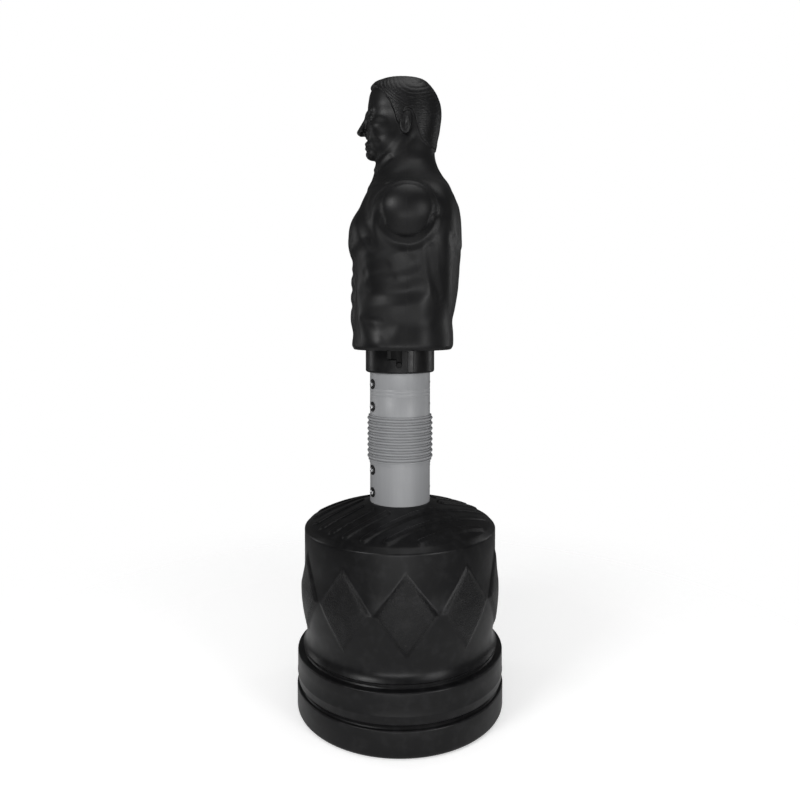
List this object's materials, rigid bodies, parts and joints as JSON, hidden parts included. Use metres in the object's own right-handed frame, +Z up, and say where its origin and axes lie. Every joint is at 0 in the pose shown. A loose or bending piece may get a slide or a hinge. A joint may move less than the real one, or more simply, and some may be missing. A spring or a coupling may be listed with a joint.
{
  "type": "free-standing punching dummy",
  "caption": "Free-standing punching dummy: a black moulded head and torso on a sprung grey tube with a ribbed bellows, over a round fillable base.",
  "frame": {"origin": "centre of the base's underside, on the floor", "axes": "+Z up along the stem; the dummy faces -Y and its left side is +X"},
  "size_m": [0.578, 0.578, 1.748],
  "materials": {
    "tank_plastic": "satin",
    "cap_plastic": "satin",
    "soft_rubber": "matte",
    "zinc_steel": "satin",
    "nylon_black": "satin",
    "grey_tube": "satin",
    "chrome_bolts": "polished",
    "black_washers": "matte",
    "spring_steel": "satin",
    "grey_bellows": "satin",
    "collar_plastic": "gloss",
    "plywood": "matte",
    "yellow_foam": "matte",
    "black_vinyl": "satin"
  },
  "bodies": {
    "base": {"base_tank": "tank_plastic", "anchor_bolt": "zinc_steel", "anchor_washers": "zinc_steel", "anchor_nut": "zinc_steel", "stem_foot": "nylon_black", "lower_tube": "grey_tube", "lower_spring_cup": "nylon_black", "lower_bolts": "chrome_bolts", "lower_washers": "black_washers", "lower_nuts": "chrome_bolts"},
    "stem_mid": {"shock_spring": "spring_steel", "bellows": "grey_bellows"},
    "stem_top": {"upper_tube": "grey_tube", "upper_spring_cup": "nylon_black", "upper_bolts": "chrome_bolts", "upper_washers": "black_washers", "upper_nuts": "chrome_bolts", "bayonet_collar": "collar_plastic"},
    "torso": {"mount_plug": "nylon_black", "plug_lugs": "zinc_steel", "plug_screws": "zinc_steel", "torso_plate": "plywood", "foam_core": "yellow_foam", "torso_skin": "black_vinyl"},
    "cap_ring": {"cap_gasket": "soft_rubber"},
    "cap": {"fill_cap": "cap_plastic"}
  },
  "joints": [
    {"name": "stem_pitch", "type": "hinge", "parent": "base", "child": "stem_mid", "pos_m": [0, 0, 0.753], "axis": [1, 0, 0], "range_deg": [-20, 20], "stiffness_Nm_per_rad": 900, "deforming": ["shock_spring", "bellows"]},
    {"name": "stem_roll", "type": "hinge", "parent": "stem_mid", "child": "stem_top", "pos_m": [0, 0, 0.753], "axis": [0, 1, 0], "range_deg": [-20, 20], "stiffness_Nm_per_rad": 900, "deforming": ["shock_spring", "bellows"]},
    {"name": "torso_lift", "type": "slide", "parent": "stem_top", "child": "torso", "axis": [0, 0, 1], "range_m": [0, 0.025]},
    {"name": "cap_rise", "type": "slide", "parent": "base", "child": "cap_ring", "axis": [0, 0, 1], "range_m": [0, 0.0061]},
    {"name": "cap_turn", "type": "hinge", "parent": "cap_ring", "child": "cap", "pos_m": [-0.178, 0, 0.581], "axis": [0, 0, 1], "range_deg": [0, 540]}
  ],
  "couplings": [
    {"joint": "cap_rise", "follows": "cap_turn", "m_per_rad": 0.00063662}
  ]
}
